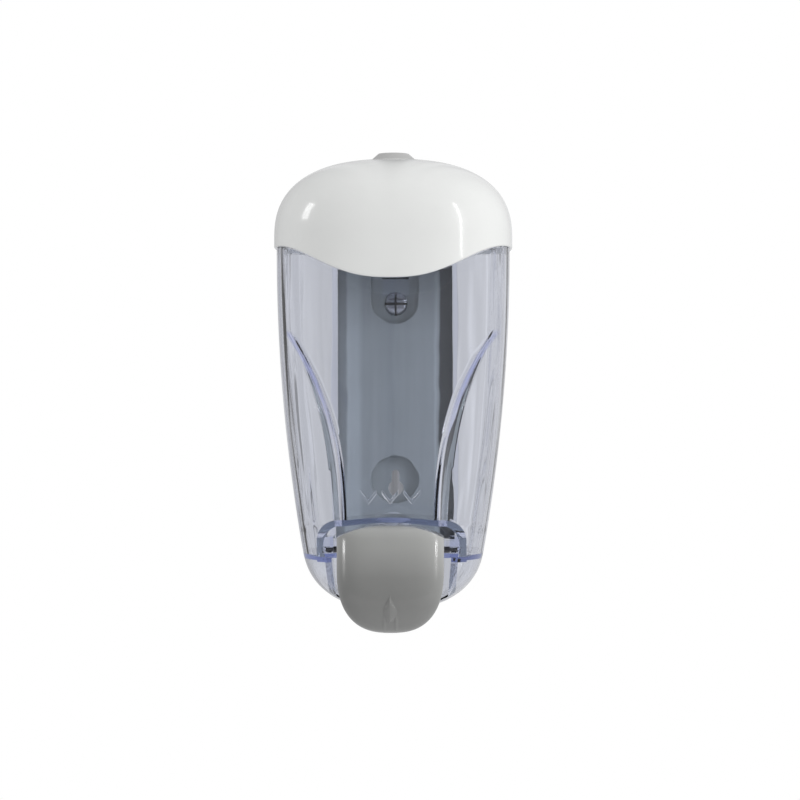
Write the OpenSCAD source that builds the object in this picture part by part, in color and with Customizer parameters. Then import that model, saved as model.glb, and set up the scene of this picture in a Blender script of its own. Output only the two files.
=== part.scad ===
// Wall mounted soap dispenser: clear tank hung on a wall bracket, lift-off lid with a
// cam lock, and a push lever that works a horizontal piston pump under the tank.
//
// Frame: the wall is the plane y = 0 and the front faces -Y, with +Z up. The origin is on
// the wall plane, midway between the two wall fixings. Millimetres.

/* [Lid] */
// Width of the lid, the widest part
lid_w = 118.5; // [114:0.5:122]
// Height of the lid's crown above the origin
lid_top = 113.8; // [110:0.2:116]
// Height of the lid's lower edge at the sides
lid_edge = 69.5; // [66:0.5:71]
// How far the lid's lower edge dips at the front
lid_dip = 16.9; // [8:0.1:18]

/* [Tank] */
// Width of the tank just under the lid
tank_w = 116; // [112:0.5:118]
// Distance from the wall to the front of the tank
tank_depth = 106; // [102:0.5:108]
// Wall thickness of the tank
tank_wall = 2.4; // [2:0.1:2.8]
// How much narrower each side is at the height of the lever than under the lid
tank_taper = 11.5; // [8:0.5:13]

/* [Lever] */
// Width of the push lever
lever_w = 51.2; // [47:0.2:52]
// Height of the lever's foot below the origin
lever_foot = 117.2; // [116:0.2:120]

/* [Wall fixing] */
// Distance between the upper screw and the lower keyhole
fixing_pitch = 88; // [84:0.5:90]
// Diameter of the keyhole's round end
keyhole_d = 8.4; // [8:0.1:9.2]

/* [Pump] */
// Diameter of the pump's bore
pump_bore = 15; // [14:0.2:15.6]

/* [Hidden] */
$fn = 48;
eps = 0.01;

// Body shape: superellipse sections about a vertical line
round_n = 2.5;                      // exponent of every rounded section
mid_y = -45;                        // the widest line of the body
wall_gap = 0.4;                     // the shells stop this far short of the wall
front_reach = tank_depth + mid_y;   // from the widest line to the front
rear_reach = 84;                    // from the widest line to where the rear would close
shoulder_z = 68;                    // where the tank's side taper starts
taper_run = 140;                    // height over which the taper is tank_taper
belly_z = -80;                      // where the underside starts to round in
belly_run = 30;                     // height in which it would close
skirt_z = -107;                     // open lower edge of the skirt

// Nose: the raised front panel that narrows towards the lever
nose_top = 28.5;                    // the panel's edge fades out here
nose_end = -70;                     // below the arch of the lever pocket, which cuts it off
nose_half = 23;                     // half width at its lower end
nose_flare = 27.5;                  // how much wider it is at nose_top
nose_power = 2.7;
ledge_power = 0.8;                  // how late the step fades out
ledge_w = 12;                       // sets the width of the sloping step beside the panel
ledge_foot = 0.3;                   // share of that width at the panel's foot
panel_share = 0.88;                 // the panel is never wider than this share of a section

// Lid
lid_wall = 2.2;
crown_z = 74;                       // where the lid starts to round over
crown_run = lid_top - crown_z;
dip_half = 58;                      // half width of the dip in the lower edge
dip_power = 1.3;
neck_top = 86;                      // rim of the tank, inside the lid
neck_rear = 3.2;                    // the neck stops this far short of the wall
lock_pad_r = 12;                    // flat pad under the crown that the lock is clamped to
lock_pad_t = 5;
neck_gap = 0.6;                     // from the tank's neck to the lid, at the lid's lower edge
lid_gap = 2.5;                      // the same at the top of the neck

// Bracket
bracket_half = 30.5;
bracket_y = -8;                     // front face
bracket_low = -77;
bracket_high = 83.4;
bracket_wall = 2.2;
rebate_half = 28.4;                 // narrower rear part that the tank's lips close on
rebate_y = -2.4;
recess_r = 12.4;
recess_floor = -2.5;
upper_z = fixing_pitch / 2;
lower_z = -fixing_pitch / 2;
keyhole_z = lower_z - 7.2;
slot_half = 2.3;
recess_high = upper_z + 2;           // centres of the two recesses
recess_low = lower_z - 2.6;
rib_half = 1.5;
hook_half = 9;
hook_reach = 9;
hook_t = 2.4;
screw_r = 2;
screw_neck_r = 2.5;                 // smooth neck under the screw head, as long as the hole is deep
screw_reach = 22;                   // length of the shank inside the wall

// Tank interior and the pocket for the lever
floor_z = -81;
pocket_y = -66;
pocket_top = -66;
pocket_half = 33;
pocket_corner = 10;
pocket_rise = 2;                    // arch of the pocket's top
cheek_z = -81.8;                    // below this the pocket is only as wide as the lever needs
cheek_half = 29;
pump_way = 22;                      // half width of the opening that the pump passes through
channel_half = bracket_half + 0.5;
channel_y = bracket_y - 0.4;

// Lever and its pivot
pivot_y = -78;
pivot_z = -78.4;
pin_r = 1.5;
pin_end = 32;
boss_in = 28.2;                     // inner face of the pivot bosses
lever_top = -65.4;
lever_front = -110;
lever_wall = 2.2;
lever_half = lever_w / 2;
pad_y = -88;                        // the face that pushes the plunger

// Pump
pump_z = -99;                       // axis of the piston
port_y = -50;                       // vertical axis of inlet and outlet
bore_r = pump_bore / 2;
barrel_r = bore_r + 3;
barrel_front = -76;
barrel_rear = -44;
chamber_rear = -46.5;
piston_y = -60;                     // rear face of the piston at rest
piston_t = 6;
rod_r = 3.5;
plunger_gap = 0.15;
neck_r = 8;
flange_r = 12;
gasket_t = 1.2;
nut_h = 5;
floor_low = floor_z - tank_wall;
ball_r = 3;
inlet_seat_r = 2.2;
inlet_seat_z = -82;                 // the inlet ball closes against this height
inlet_low = -90;                    // foot of the inlet spring
valve_r = 4;                        // chamber that the inlet ball moves in
pump_neck_top = -74;
outlet_ball_r = 2.2;
outlet_seat_r = 1.5;
outlet_seat_z = -110.8;
outlet_z = -112;                    // lower end of the pump's outlet
outlet_boss_r = 4.8;
outlet_low = -116.6;                // foot of the outlet spring
nozzle_t = 1;
seat_gap = 0.03;                    // the balls rest this far from their seats

// Lock
lock_bezel_r = 11.5;
lock_bezel_h = 3.4;
lock_barrel_r = 6;
lock_plug_r = 4;
lock_depth = 14;
lock_head_r = 5.4;
lock_head_h = 1.6;
cam_z = 93.4;
cam_t = 2.4;
cam_reach = 32;
cam_half = 5;
cam_square = 2.4;                   // half width of the plug's square end

// ---------------------------------------------------------------- shape functions

function mix(a, b, t) = a + (b - a) * t;
function rounded(t) = pow(max(0, 1 - pow(abs(t), round_n)), 1 / round_n);
function belly(z) = z > belly_z ? 1 : rounded((belly_z - z) / belly_run);
function taper(z) = tank_taper * pow((shoulder_z - min(z, shoulder_z)) / taper_run, 2);
function tank_half(z) = (tank_w / 2 - taper(z)) * belly(z);
function tank_front(z) = front_reach * tank_half(z) / (tank_w / 2);
function nose_part(z) = min(1, max(0, (z - nose_end) / (nose_top - nose_end)));
function nose_edge(z) = nose_half + nose_flare * pow(nose_part(z), nose_power);
function nose_ledge(z) =
    ledge_w * pow(1 - nose_part(z), ledge_power) * mix(ledge_foot, 1, nose_part(z));
function dip(x) = abs(x) < dip_half ? lid_dip * (1 + cos(180 * pow(abs(x) / dip_half, dip_power))) / 2 : 0;
function edge_z(p) = lid_edge - (p[1] < mid_y ? dip(p[0]) : 0);

// Point at angle a of a section: 0 is the front, 90 the widest line
function front_point(w, f, a) = [w * pow(sin(a), 2 / round_n), mid_y - f * pow(cos(a), 2 / round_n)];
function rear_point(w, r, a) = [w * pow(cos(a), 2 / round_n), mid_y + r * pow(sin(a), 2 / round_n)];
function angle_at(x, w) = asin(pow(min(1, x / w), round_n / 2));
function rear_limit(r, back) = asin(min(1, pow((-back - mid_y) / r, round_n / 2)));

// Half of a section, from the front round to the back, for a body of half width w.
// The front panel has half width n_x and lies on the section n_w by n_f.
panel_steps = 5;
flank_steps = 8;
rear_steps = 4;
function half_section(w, f, r, back, n_x, n_w, n_f, ledge) = concat(
    [for (i = [0 : panel_steps]) let (x = n_x * i / panel_steps) [x, mid_y - n_f * rounded(x / n_w)]],
    [for (i = [0 : flank_steps]) let (a0 = angle_at(n_x + ledge, w))
        front_point(w, f, a0 + (90 - a0) * i / flank_steps)],
    [for (i = [1 : rear_steps]) rear_point(w, r, rear_limit(r, back) * i / rear_steps)]);

// A closed ring from half a section, with the height of each of its points
function ring(half, heights) = concat(
    [for (i = [0 : len(half) - 1]) [half[i][0], half[i][1], heights[i]]],
    [for (i = [len(half) - 1 : -1 : 1]) [-half[i][0], half[i][1], heights[i]]]);
function flat(half, z) = ring(half, [for (p = half) z]);
function wavy(half, drop) = ring(half, [for (p = half) edge_z(p) - drop]);

// Solid through a stack of rings, lowest first. Its ends are closed across from side to side.
module skin(rings) {
    n = len(rings[0]);
    last = len(rings) - 1;
    points = [for (r = rings) for (p = r) p];
    side = [for (k = [0 : last - 1]) for (i = [0 : n - 1])
        let (a = k * n + i, b = k * n + (i + 1) % n) each [[a, a + n, b + n], [a, b + n, b]]];
    ends = concat([[0, 1, n - 1]], [for (i = [1 : (n - 3) / 2])
        each [[i, i + 1, n - i - 1], [i, n - i - 1, n - i]]]);
    top = [for (f = ends) [f[0] + last * n, f[2] + last * n, f[1] + last * n]];
    polyhedron(points = points, faces = concat(side, ends, top));
}

// ---------------------------------------------------------------- tank

function tank_section(z, inset, nose) =
    let (w = tank_half(z) - inset,
         f = tank_front(z) - inset,
         top = max(z, nose_top),
         n_w = nose ? tank_half(top) - inset : w,
         n_f = nose ? tank_front(top) - inset : f,
         n_x = min(nose_edge(z) - inset, panel_share * w))
    half_section(w, f, rear_reach, wall_gap + inset, n_x, n_w, n_f, nose ? nose_ledge(z) : 0);
function neck_section(inset, gap) =
    let (w = lid_w / 2 - lid_wall - gap - inset, f = front_reach - lid_wall - gap + 1 - inset)
    half_section(w, f, rear_reach, neck_rear + inset, panel_share * w, w, f, 0);

belly_heights = [skirt_z, -103, -98, -91, belly_z, -72];
body_heights = [-48, -30, -14, 0, 11, 20, 26, nose_top, 46];

module tank_outside() {
    skin(concat(
        [for (z = belly_heights) flat(tank_section(z, 0, false), z)],
        [flat(tank_section(nose_end, 0, false), nose_end - 0.02)],
        [flat(tank_section(nose_end, 0, true), nose_end)],
        [for (z = body_heights) flat(tank_section(z, 0, true), z)],
        [wavy(tank_section(shoulder_z, 0, true), 0.3), wavy(neck_section(0, neck_gap), 0.25)],
        [flat(neck_section(0, lid_gap), neck_top)]));
}

module tank_inside() {
    t = tank_wall;
    skin(concat(
        [for (z = [floor_z, -72]) flat(tank_section(z, t, false), z)],
        [flat(tank_section(nose_end + t, t, false), nose_end + t - 0.02)],
        [flat(tank_section(nose_end + t, t, true), nose_end + t)],
        [for (z = body_heights) flat(tank_section(z, t, true), z)],
        [wavy(tank_section(shoulder_z, t, true), 4.5), wavy(neck_section(t, neck_gap), 1)],
        [flat(neck_section(t, lid_gap), neck_top + 1)]));
}

module skirt_inside() {
    below_floor = [for (z = belly_heights) if (z > skirt_z && z < belly_z) z];
    heights = concat([skirt_z - 1], below_floor, [floor_low]);
    skin([for (z = heights) flat(tank_section(max(z, skirt_z), tank_wall, false), z)]);
}

// Front view of the pocket, grown by g: arched top, wide at the pivot, narrow beside the lever
module pocket_outline(g) {
    corner_steps = 6;
    top = pocket_top + g;
    half = pocket_half + g;
    right = concat(
        [for (i = [0 : corner_steps]) let (a = 90 * i / corner_steps)
            [half - pocket_corner * (1 - sin(a)), top - pocket_corner * (1 - cos(a))]],
        [[half, cheek_z - g], [cheek_half + g, cheek_z - g], [lever_half + 1 + g, skirt_z - 5]]);
    left = [for (i = [len(right) - 1 : -1 : 0]) [-right[i][0], right[i][1]]];
    polygon(concat([[0, top + pocket_rise]], right, left));
}

module pocket(g) {
    translate([0, pocket_y + g, 0]) rotate([90, 0, 0]) linear_extrude(80) pocket_outline(g);
}

module pivot_bore(r) {
    translate([-pin_end - 0.6, pivot_y, pivot_z]) rotate([0, 90, 0]) cylinder(r = r, h = 2 * pin_end + 1.2);
}

module tank() {
    color([0.85, 0.88, 0.94, 0.4]) {
        difference() {
            union() {
                difference() {
                    tank_outside();
                    difference() {
                        tank_inside();
                        pocket(tank_wall);
                        channel_block();
                    }
                    difference() {
                        skirt_inside();
                        pocket(tank_wall);
                    }
                    pocket(0);
                    // way through for the pump
                    translate([-pump_way, pocket_y - 1, skirt_z - 1])
                        cube([2 * pump_way, tank_wall + 2, floor_low - skirt_z + 1]);
                }
                intersection() {
                    for (s = [-1, 1]) pivot_boss(s);
                    skin([for (z = belly_heights) flat(tank_section(z, 0, false), z)]);
                }
            }
            // channel for the wall bracket, with lips that close behind its wide front part
            channel_h = bracket_high + 0.1 - bracket_low + 1;
            translate([-channel_half, channel_y, bracket_low - 1])
                cube([2 * channel_half, rebate_y + 0.3 - channel_y, channel_h]);
            translate([-rebate_half - 0.4, rebate_y, bracket_low - 1])
                cube([2 * rebate_half + 0.8, 10, channel_h]);
            pivot_bore(pin_r + 0.05);
            translate([0, port_y, floor_low - 1]) cylinder(r = neck_r + 0.2, h = tank_wall + 2);
        }
        hanger();
        catch();
    }
}

// Material kept round the bracket's channel
module channel_block() {
    half = channel_half + tank_wall;
    translate([-half, channel_y - tank_wall, skirt_z]) cube([2 * half, tank_depth, tank_depth - skirt_z]);
}

// Hook on the rear rim that the lock's cam turns under
module catch() {
    low = cam_z + cam_t + 0.4;
    back = channel_y - tank_wall;
    foot = neck_top - 1;
    translate([-hook_half, back, foot]) cube([2 * hook_half, tank_wall, low + hook_t - foot]);
    translate([-hook_half, back - hook_reach, low]) cube([2 * hook_half, hook_reach + 1, hook_t]);
}

// Block in the pocket's corner that carries one end of the lever's pivot
module pivot_boss(side) {
    depth = pocket_y - pivot_y + 5;
    translate([side > 0 ? boss_in : -pocket_half - 1, pocket_y + 0.5 - depth, cheek_z])
        cube([pocket_half + 1 - boss_in, depth, 10]);
}

// Tongue behind the tank that drops into the bracket's upper recess
module hanger() {
    half = 7;
    root_z = 56;
    root_h = 4;
    reach = 3.6;
    tip_z = 47.4;
    tip_r = 2;
    translate([0, channel_y - 0.5, 0]) {
        translate([-half, 0, root_z]) cube([2 * half, reach, root_h]);
        translate([0, reach, 0]) rotate([90, 0, 0]) linear_extrude(reach / 2) hull() {
            translate([-half, root_z + root_h / 2]) square([2 * half, root_h / 2]);
            for (s = [-1, 1]) translate([s * (half - tip_r), tip_z + tip_r]) circle(r = tip_r);
        }
    }
}

// ---------------------------------------------------------------- wall bracket

module recess(z, top) {
    translate([0, recess_floor, 0]) rotate([90, 0, 0]) linear_extrude(20) {
        translate([0, z]) circle(r = recess_r);
        if (top > z) translate([-recess_r, z]) square([2 * recess_r, top - z]);
    }
}

module cup(z, top) {
    r = recess_r + bracket_wall;
    rotate([90, 0, 0]) linear_extrude(-bracket_y) {
        translate([0, z]) circle(r = r);
        if (top > z) translate([-r, z]) square([2 * r, bracket_high - z]);
    }
}

module bracket_plate(half, y0, y1) {
    translate([-half, y0, bracket_low]) cube([2 * half, y1 - y0, bracket_high - bracket_low]);
}

// Hollow back, left open to the wall on both sides of a middle rib
module bracket_hollow() {
    w = rebate_half - bracket_wall - rib_half;
    for (x = [-rib_half - w, rib_half])
        translate([x, bracket_y + bracket_wall, bracket_low + bracket_wall])
            cube([w, 20, bracket_high - bracket_low - 2 * bracket_wall]);
}

// Small raised arrow that shows which way is up
module up_mark() {
    half = 2.6;
    low = -5.8;
    raised = 0.3;
    translate([0, bracket_y + 0.5, low]) rotate([90, 0, 0]) linear_extrude(0.5 + raised)
        polygon([[-half, 0], [half, 0], [0, 1.25 * half]]);
}

// Hole of radius r through a recess's floor
module floor_hole(z, r) {
    translate([0, 1, z]) rotate([90, 0, 0]) cylinder(r = r, h = 5);
}

module wall_bracket() {
    upper_top = bracket_high + 1;
    color([0.52, 0.55, 0.58]) difference() {
        union() {
            difference() {
                union() {
                    bracket_plate(bracket_half, bracket_y, rebate_y);
                    bracket_plate(rebate_half, bracket_y, 0);
                }
                bracket_hollow();
            }
            cup(recess_high, upper_top);
            cup(recess_low, recess_low);
            up_mark();
        }
        recess(recess_high, upper_top);
        recess(recess_low, recess_low);
        floor_hole(upper_z, screw_neck_r + 0.2);
        floor_hole(keyhole_z, keyhole_d / 2);
        floor_hole(lower_z, slot_half);
        translate([-slot_half, -4, keyhole_z]) cube([2 * slot_half, 5, lower_z - keyhole_z]);
    }
}

// ---------------------------------------------------------------- wall screw

module wall_screw() {
    head_r = 6.2;
    head_h = 2.1;
    crown_r = 11.1;
    slot = [5.2, 1, 2.1];
    color([0.8, 0.8, 0.82]) translate([0, recess_floor, upper_z]) rotate([-90, 0, 0]) difference() {
        union() {
            intersection() {
                translate([0, 0, -head_h]) cylinder(r = head_r, h = head_h);
                translate([0, 0, crown_r - head_h - 0.1]) sphere(r = crown_r);
            }
            translate([0, 0, -eps]) cylinder(r = screw_neck_r, h = -recess_floor);
            translate([0, 0, -recess_floor - eps]) cylinder(r = screw_r, h = screw_reach + eps);
            translate([0, 0, screw_reach - recess_floor]) cylinder(r1 = screw_r, r2 = 0.4, h = 3.6);
        }
        for (a = [0, 90]) rotate([0, 0, a])
            translate([-slot[0] / 2, -slot[1] / 2, -head_h - 0.9]) cube(slot);
    }
}

// ---------------------------------------------------------------- lid

function lid_section(z, inset) =
    let (s = z < crown_z ? 1 : rounded((z - crown_z) / crown_run),
         w = (lid_w / 2) * s - inset,
         f = (front_reach + 1) * s - inset,
         r = rear_reach * s - inset,
         back = max(wall_gap + inset, -mid_y - r * 0.985))
    half_section(w, f, r, back, 0.85 * w, w, f, 0);
crown_shares = [0, 0.25, 0.42, 0.56, 0.68, 0.78, 0.86, 0.92, 0.96, 0.985, 0.998];

module lid_skin(inset) {
    skin(concat(
        [flat(lid_section(0, inset), inset > 0 ? lid_edge - 30 : lid_edge - lid_dip)],
        [for (c = crown_shares)
            flat(lid_section(crown_z + crown_run * c, inset), crown_z + (crown_run - inset) * c)]));
}

// Everything under the lid's lower edge, which dips at the front in a smooth wave
module below_lid() {
    steps = 24;
    w = lid_w / 2 + 3;
    low = 30;
    translate([0, mid_y, 0]) rotate([90, 0, 0]) linear_extrude(80)
        polygon(concat([for (i = [-steps : steps]) let (x = dip_half * i / steps) [x, lid_edge - dip(x)]],
                       [[w, lid_edge], [w, low], [-w, low], [-w, lid_edge]]));
    translate([-w, mid_y - 1, low]) cube([2 * w, 50, lid_edge - low]);
}

module lid() {
    color([0.93, 0.94, 0.94]) difference() {
        union() {
            difference() {
                lid_skin(0);
                lid_skin(lid_wall);
            }
            translate([0, mid_y, lid_top - lock_pad_t]) cylinder(r = lock_pad_r, h = lock_pad_t + 0.05);
        }
        below_lid();
        translate([0, mid_y, lid_top - 10]) cylinder(r = lock_barrel_r + 0.05, h = 20);
        translate([-bracket_half - 0.9, -5, 0]) cube([2 * bracket_half + 1.8, 10, bracket_high + 1.2]);
    }
}

// ---------------------------------------------------------------- lock

module lock_housing() {
    color([0.62, 0.62, 0.63]) translate([0, mid_y, lid_top + 0.05]) difference() {
        union() {
            cylinder(r1 = lock_bezel_r, r2 = 7.6, h = lock_bezel_h);
            translate([0, 0, -lock_depth]) cylinder(r = lock_barrel_r, h = lock_depth + 0.5);
        }
        translate([0, 0, -20]) cylinder(r = lock_plug_r + 0.05, h = 40);
        translate([0, 0, lock_bezel_h - lock_head_h]) cylinder(r = lock_head_r + 0.05, h = 5);
    }
}

module lock_nut() {
    color([0.75, 0.75, 0.76]) translate([0, mid_y, lid_top - lock_pad_t - 3.2]) difference() {
        cylinder(r = 9.5, h = 3.15, $fn = 6);
        translate([0, 0, -1]) cylinder(r = lock_barrel_r + 0.05, h = 6);
    }
}

module lock_plug() {
    low = cam_z + cam_t;
    face = lid_top + lock_bezel_h;
    color([0.7, 0.7, 0.71]) translate([0, mid_y, 0]) difference() {
        union() {
            translate([0, 0, low]) cylinder(r = lock_plug_r, h = face - 0.3 - low);
            translate([0, 0, face - lock_head_h + 0.1]) cylinder(r = lock_head_r, h = lock_head_h - 0.2);
            translate([0, 0, low]) cylinder(r = lock_plug_r + 1.2, h = lid_top - lock_depth - low - 0.05);
            translate([-cam_square, -cam_square, cam_z]) cube([2 * cam_square, 2 * cam_square, cam_t + 1]);
        }
        translate([0, 0, lid_top]) cylinder(r = 3, h = 6, $fn = 3);
        translate([0, 0, cam_z - 1]) cylinder(r = 1.25, h = 8);
    }
}

module lock_cam() {
    color([0.75, 0.75, 0.76]) translate([0, mid_y, cam_z]) difference() {
        union() {
            cylinder(r = 8, h = cam_t - 0.05);
            translate([0, -cam_half, 0]) cube([cam_reach - cam_half, 2 * cam_half, cam_t - 0.05]);
            translate([cam_reach - cam_half, 0, 0]) cylinder(r = cam_half, h = cam_t - 0.05);
        }
        hole = cam_square + 0.05;
        translate([-hole, -hole, -1]) cube([2 * hole, 2 * hole, 6]);
    }
}

module cam_screw() {
    color([0.8, 0.8, 0.82]) translate([0, mid_y, cam_z - 0.05]) difference() {
        union() {
            translate([0, 0, -2]) cylinder(r = 3.8, h = 2);
            translate([0, 0, -eps]) cylinder(r = 1.2, h = 6);
        }
        translate([-2.2, -0.4, -3]) cube([4.4, 0.8, 1.8]);
    }
}

// ---------------------------------------------------------------- push lever

lever_mid = -86;                    // below this the lever's outline rounds in to its foot
lever_back = -84;                   // rear edge of its side walls
lever_bulge = 8.5;                  // how far its face falls back from the middle to the sides
face_power = 0.7;                   // 1 makes its face a plain ellipse, and less a flatter one
lever_lean = 15;                    // how far its face falls back towards the foot
lip_r = 6;                          // radius of its top edge
arch_drop = 6;                      // how much lower its top edge is at the sides
arm_r = 5;

// Share of the lever's width and reach at height z
function lever_share(z) = z > lever_mid ? 1 : rounded((lever_mid - z) / (lever_mid + lever_foot));
// How far the inside of the lever lies above its outside, as a share of the wall
function lever_rise(z) = z > lever_mid ? -1 : (lever_mid - z) / (lever_mid + lever_foot);
function lever_lip(z) = let (t = max(0, (z - lever_top + lip_r) / lip_r)) lip_r * (1 - sqrt(1 - t * t));
function lever_section(z, inset) =
    let (steps = 12,
         s = lever_share(z),
         w = lever_half * s - inset,
         front = lever_front + lever_lean * (1 - s) + lever_lip(z) + inset,
         back = lever_back + 10 * (1 - s))
    concat(
        [for (i = [0 : steps]) let (a = 90 * i / steps)
            [w * pow(sin(a), face_power), front + lever_bulge * s * (1 - cos(a))]],
        [[w, max(back, front + lever_bulge * s + 1) + (inset > 0 ? 30 : 0)]]);
lever_heights = concat(
    [for (t = [1, 0.985, 0.96, 0.92, 0.84, 0.73, 0.6, 0.42, 0])
        lever_mid - (lever_mid + lever_foot - 0.1) * t],
    [for (t = [-2.1, -1.1, -0.72, -0.42, -0.15, 0]) lever_top + lip_r * t]);

// Everything under the lever's arched top edge
module lever_arch(inset) {
    half = lever_half + 2;
    steps = 14;
    edge = [for (i = [-steps : steps]) let (x = half * i / steps)
        [x, lever_top - inset - arch_drop * pow(abs(x) / lever_half, 2.4)]];
    rotate([90, 0, 0]) linear_extrude(140) polygon(concat(edge, [[half, -150], [-half, -150]]));
}

module lever_skin(inset) {
    intersection() {
        skin([for (z = lever_heights) flat(lever_section(z, inset), z + inset * lever_rise(z))]);
        lever_arch(inset);
    }
}

// Arm back to the pivot, on one side
module lever_arm(side) {
    translate([side * (lever_half - lever_wall / 2), 0, 0]) rotate([90, 0, 90])
        linear_extrude(lever_wall, center = true) hull() {
            translate([pivot_y, pivot_z]) circle(r = arm_r);
            translate([lever_back - 6, pivot_z - 8]) square([1, 8 + arm_r]);
        }
}

module push_lever() {
    color([0.6, 0.61, 0.6]) difference() {
        union() {
            difference() {
                lever_skin(0);
                lever_skin(lever_wall);
            }
            for (s = [-1, 1]) lever_arm(s);
            // pad that meets the plunger
            translate([-5, lever_front + 2, pump_z - 3.5]) cube([10, pad_y - lever_front - 2, 9.5]);
        }
        pivot_bore(pin_r);
    }
}

module lever_pins() {
    length = pin_end - lever_half + lever_wall + 1.5;
    color([0.25, 0.25, 0.26]) for (s = [-1, 1])
        translate([s > 0 ? pin_end - length : -pin_end, pivot_y, pivot_z])
            rotate([0, 90, 0]) cylinder(r = pin_r, h = length);
}

// ---------------------------------------------------------------- pump

module along_y(y) {
    translate([0, y, pump_z]) rotate([-90, 0, 0]) children();
}

module upright(z) {
    translate([0, port_y, z]) children();
}

module pump_body() {
    flange_t = 2;
    inlet_r = 5;
    outlet_r = 3.2;
    color([0.95, 0.95, 0.93]) difference() {
        union() {
            along_y(barrel_front) cylinder(r = barrel_r, h = barrel_rear - barrel_front);
            upright(pump_z) cylinder(r = neck_r, h = pump_neck_top - pump_z);
            upright(floor_low - gasket_t - flange_t) cylinder(r = flange_r, h = flange_t);
            upright(outlet_z) cylinder(r = outlet_boss_r, h = pump_z - outlet_z);
        }
        along_y(barrel_front - 1) cylinder(r = bore_r, h = chamber_rear - barrel_front + 1);
        upright(inlet_seat_z + 2) cylinder(r = inlet_r, h = 10);
        upright(inlet_seat_z - 1) cylinder(r = inlet_seat_r, h = 5);
        upright(pump_z) cylinder(r = valve_r, h = inlet_seat_z - pump_z);
        upright(outlet_z - 1) cylinder(r = outlet_seat_r, h = 10);
        upright(outlet_z - 1) cylinder(r = outlet_r, h = outlet_seat_z - outlet_z + 1);
    }
}

module pump_gasket() {
    color([0.2, 0.2, 0.2]) upright(floor_low - gasket_t) difference() {
        cylinder(r = flange_r, h = gasket_t);
        translate([0, 0, -1]) cylinder(r = neck_r + 0.1, h = 4);
    }
}

module pump_nut() {
    color([0.95, 0.95, 0.93]) upright(floor_z) difference() {
        cylinder(r = flange_r, h = nut_h, $fn = 8);
        translate([0, 0, -1]) cylinder(r = neck_r + 0.05, h = nut_h + 2);
    }
}

// Slotted dome that keeps lumps out of the inlet
module inlet_strainer() {
    dome_r = 9.6;
    straight = 5;
    slot_w = 1.4;
    color([0.9, 0.91, 0.92]) upright(floor_z + nut_h + 0.1) difference() {
        union() {
            cylinder(r = dome_r, h = straight);
            translate([0, 0, straight]) intersection() {
                sphere(r = dome_r);
                cylinder(r = dome_r + 1, h = dome_r + 1);
            }
        }
        translate([0, 0, -1]) cylinder(r = neck_r + 0.1, h = 1 + straight);
        translate([0, 0, straight - eps]) intersection() {
            sphere(r = neck_r + 0.1);
            cylinder(r = dome_r, h = dome_r);
        }
        for (a = [0 : 45 : 179]) rotate([0, 0, a + 22.5])
            translate([-15, -slot_w / 2, 3]) cube([30, slot_w, 7]);
    }
}

module pump_cap() {
    color([0.9, 0.9, 0.88]) along_y(barrel_front - 3) difference() {
        cylinder(r = barrel_r + 1.8, h = 9);
        translate([0, 0, 2.95]) cylinder(r = barrel_r + 0.05, h = 9);
        translate([0, 0, -1]) cylinder(r = rod_r + 0.04, h = 6);
    }
}

module piston() {
    rod_end = pad_y + plunger_gap;
    groove = 2.4;
    color([0.3, 0.45, 0.65]) difference() {
        union() {
            along_y(piston_y - piston_t) cylinder(r = bore_r - 0.04, h = piston_t);
            along_y(rod_end + 1) cylinder(r = rod_r, h = piston_y - piston_t - rod_end - 0.5);
            along_y(rod_end) cylinder(r1 = rod_r - 1, r2 = rod_r, h = 1);
        }
        along_y(piston_y - (piston_t + groove) / 2) difference() {
            cylinder(r = bore_r + 1, h = groove);
            translate([0, 0, -1]) cylinder(r = bore_r - 2, h = 6);
        }
    }
}

module piston_ring() {
    section_r = 0.92;
    color([0.12, 0.12, 0.12]) along_y(piston_y - 3) rotate_extrude()
        translate([bore_r - section_r - 0.14, 0]) circle(r = section_r);
}

// Plain sleeve with the outer size of a coil spring
module spring_sleeve(r, wire, length) {
    difference() {
        cylinder(r = r, h = length);
        translate([0, 0, -1]) cylinder(r = r - wire, h = length + 2);
    }
}

module return_spring() {
    length = chamber_rear - piston_y - 0.1;
    color([0.75, 0.75, 0.78]) along_y(piston_y + 0.05) spring_sleeve(6.4, 0.9, length);
}

// Height of a ball of radius r under a round seat of radius seat
function ball_z(r, seat, seat_z) = seat_z - sqrt(r * r - seat * seat) - seat_gap;
inlet_ball_z = ball_z(ball_r, inlet_seat_r, inlet_seat_z);
outlet_ball_z = ball_z(outlet_ball_r, outlet_seat_r, outlet_seat_z);

module inlet_ball() {
    color([0.82, 0.82, 0.84]) upright(inlet_ball_z) sphere(r = ball_r);
}

module inlet_spring() {
    under_ball = 1.75;
    length = inlet_ball_z - under_ball - inlet_low;
    color([0.75, 0.75, 0.78]) upright(inlet_low) spring_sleeve(3, 0.5, length);
}

module inlet_cage() {
    cage_t = 1.15;
    color([0.95, 0.95, 0.93]) upright(inlet_low - cage_t - 0.05) difference() {
        cylinder(r = valve_r - seat_gap, h = cage_t);
        translate([0, 0, -1]) cylinder(r = 1.8, h = 4);
    }
}

module outlet_ball() {
    color([0.82, 0.82, 0.84]) upright(outlet_ball_z) sphere(r = outlet_ball_r);
}

module outlet_spring() {
    under_ball = 1.36;
    length = outlet_ball_z - under_ball - outlet_low;
    color([0.75, 0.75, 0.78]) upright(outlet_low) spring_sleeve(2.1, 0.35, length);
}

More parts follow.
